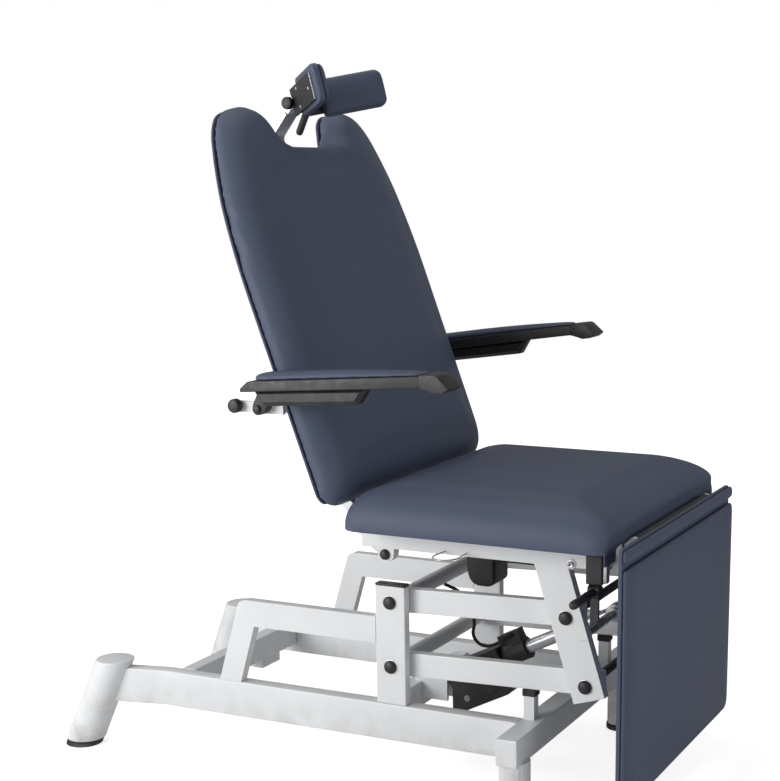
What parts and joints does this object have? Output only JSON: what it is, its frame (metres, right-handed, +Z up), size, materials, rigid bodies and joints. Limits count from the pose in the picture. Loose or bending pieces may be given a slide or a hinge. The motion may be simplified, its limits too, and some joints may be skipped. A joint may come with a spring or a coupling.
{
  "type": "ear nose and throat chair",
  "caption": "Powered examination chair with a lifting steel frame, reclining notched backrest, swing-up leg rest, tilting armrests and a sliding, tilting headrest",
  "frame": {"origin": "on the floor under the middle of the chair's bounding box", "axes": "+X forward where the sitter looks, +Y to the sitter's left, +Z up"},
  "size_m": [1.2118, 0.732, 1.3089],
  "materials": {
    "powder_coat": "white powder coat",
    "black_plastic": "black moulded, fine grain",
    "rubber": "matt black",
    "vinyl": "slate blue grained vinyl over foam",
    "plated_steel": "plated",
    "board": "plywood"
  },
  "bodies": {
    "base": {"rail_right": "powder_coat", "rail_left": "powder_coat", "rear_cross_bar": "powder_coat", "middle_cross_bar": "powder_coat", "front_cross_bar": "powder_coat", "brace_right": "powder_coat", "brace_left": "powder_coat", "post_right": "powder_coat", "post_left": "powder_coat", "rear_foot_pad_right": "rubber", "rear_foot_pad_left": "rubber", "front_foot_pad_right": "rubber", "front_foot_pad_left": "rubber", "stop_bumper_right": "rubber", "stop_bumper_left": "rubber", "upper_rear_shaft": "black_plastic", "lower_rear_shaft": "black_plastic"},
    "upper_arms": {"upper_arm_right": "powder_coat", "upper_arm_left": "powder_coat", "upper_torsion_tube": "powder_coat"},
    "lower_arms": {"lower_arm_right": "powder_coat", "lower_arm_left": "powder_coat", "lower_torsion_tube": "powder_coat"},
    "lift_motor": {"lift_motor": "black_plastic", "lift_lead": "rubber"},
    "lift_rod": {"lift_rod": "plated_steel"},
    "seat_frame": {"seat_side_right": "powder_coat", "seat_side_left": "powder_coat", "seat_cross_tube": "powder_coat", "lift_cross_shaft": "plated_steel", "seat_board": "board", "seat_cushion": "vinyl", "control_box": "black_plastic", "handset_hook": "plated_steel", "leg_rest_lock": "black_plastic", "back_motor": "black_plastic", "upper_front_shaft": "black_plastic", "lower_front_shaft": "black_plastic"},
    "back_rod": {"back_rod": "plated_steel"},
    "backrest": {"back_upright_right": "powder_coat", "back_upright_left": "powder_coat", "back_cross_bar": "powder_coat", "headrest_guide": "powder_coat", "backrest_board": "board", "backrest_cushion": "vinyl"},
    "armrest_right": {"armrest_right": "black_plastic", "arm_pad_right": "vinyl"},
    "armrest_left": {"armrest_left": "black_plastic", "arm_pad_left": "vinyl"},
    "arm_knob_right": {"arm_knob_right": "black_plastic"},
    "arm_knob_left": {"arm_knob_left": "black_plastic"},
    "headrest_strap": {"headrest_strap": "plated_steel"},
    "headrest": {"headrest_clamp": "black_plastic", "head_pad_right": "vinyl", "head_pad_left": "vinyl"},
    "headrest_knob": {"headrest_knob": "black_plastic"},
    "leg_rest": {"leg_rest_hinge": "powder_coat", "leg_rest_board": "vinyl", "leg_rest_cushion": "vinyl"},
    "lock_lever": {"lock_lever": "black_plastic"}
  },
  "joints": [
    {"name": "lift", "type": "hinge", "parent": "base", "child": "upper_arms", "pos_m": [0.11588, 0, 0.3575], "axis": [0, -1, 0], "range_deg": [0, 40]},
    {"name": "lower_arm_turn", "type": "hinge", "parent": "base", "child": "lower_arms", "pos_m": [0.11588, 0, 0.2365], "axis": [0, -1, 0], "range_deg": [0, 37]},
    {"name": "seat_level", "type": "hinge", "parent": "upper_arms", "child": "seat_frame", "pos_m": [0.45887, 0, 0.368], "axis": [0, -1, 0], "range_deg": [-37.5, 0]},
    {"name": "lift_motor_turn", "type": "hinge", "parent": "base", "child": "lift_motor", "pos_m": [0.11688, 0, 0.147], "axis": [0, -1, 0], "range_deg": [0, 30], "deforming": ["lift_lead"]},
    {"name": "lift_rod_slide", "type": "slide", "parent": "lift_motor", "child": "lift_rod", "axis": [0.8939, 0, 0.4482], "range_m": [0, 0.0885]},
    {"name": "recline", "type": "hinge", "parent": "seat_frame", "child": "backrest", "pos_m": [0.04018, 0, 0.511], "axis": [0, -1, 0], "range_deg": [0, 69]},
    {"name": "back_rod_slide", "type": "slide", "parent": "seat_frame", "child": "back_rod", "axis": [1, 0, 0], "range_m": [0, 0.134]},
    {"name": "leg_rest_swing", "type": "hinge", "parent": "seat_frame", "child": "leg_rest", "pos_m": [0.57588, 0, 0.511], "axis": [0, -1, 0], "range_deg": [0, 85]},
    {"name": "lock_lever_pull", "type": "hinge", "parent": "seat_frame", "child": "lock_lever", "pos_m": [0.51538, -0.2283, 0.4237], "axis": [-1, 0, 0], "range_deg": [0, 20]},
    {"name": "armrest_tilt_right", "type": "hinge", "parent": "backrest", "child": "armrest_right", "pos_m": [-0.08712, -0.31, 0.712], "axis": [0, -1, 0], "range_deg": [-60, 45]},
    {"name": "arm_knob_turn_right", "type": "hinge", "parent": "backrest", "child": "arm_knob_right", "pos_m": [-0.14012, -0.3003, 0.714], "axis": [0, -1, 0], "continuous": true},
    {"name": "armrest_tilt_left", "type": "hinge", "parent": "backrest", "child": "armrest_left", "pos_m": [-0.08712, 0.31, 0.712], "axis": [0, -1, 0], "range_deg": [-60, 45]},
    {"name": "arm_knob_turn_left", "type": "hinge", "parent": "backrest", "child": "arm_knob_left", "pos_m": [-0.14012, 0.3003, 0.714], "axis": [0, 1, 0], "continuous": true},
    {"name": "headrest_slide", "type": "slide", "parent": "backrest", "child": "headrest_strap", "axis": [-0.3469, 0, 0.9379], "range_m": [-0.005, 0.08]},
    {"name": "headrest_tilt", "type": "hinge", "parent": "headrest_strap", "child": "headrest", "pos_m": [-0.18782, 0, 1.24552], "axis": [0, -1, 0], "range_deg": [-20, 25]},
    {"name": "headrest_knob_turn", "type": "hinge", "parent": "headrest", "child": "headrest_knob", "pos_m": [-0.18782, 0, 1.24552], "axis": [0, -1, 0], "continuous": true}
  ],
  "couplings": [
    {"joint": "lower_arm_turn", "follows": "lift", "ratio": 0.90096},
    {"joint": "seat_level", "follows": "lift", "ratio": -0.92115},
    {"joint": "lift_motor_turn", "follows": "lift", "ratio": 0.73476},
    {"joint": "lift_rod_slide", "follows": "lift", "m_per_rad": 0.12431},
    {"joint": "back_rod_slide", "follows": "recline", "m_per_rad": 0.11}
  ]
}
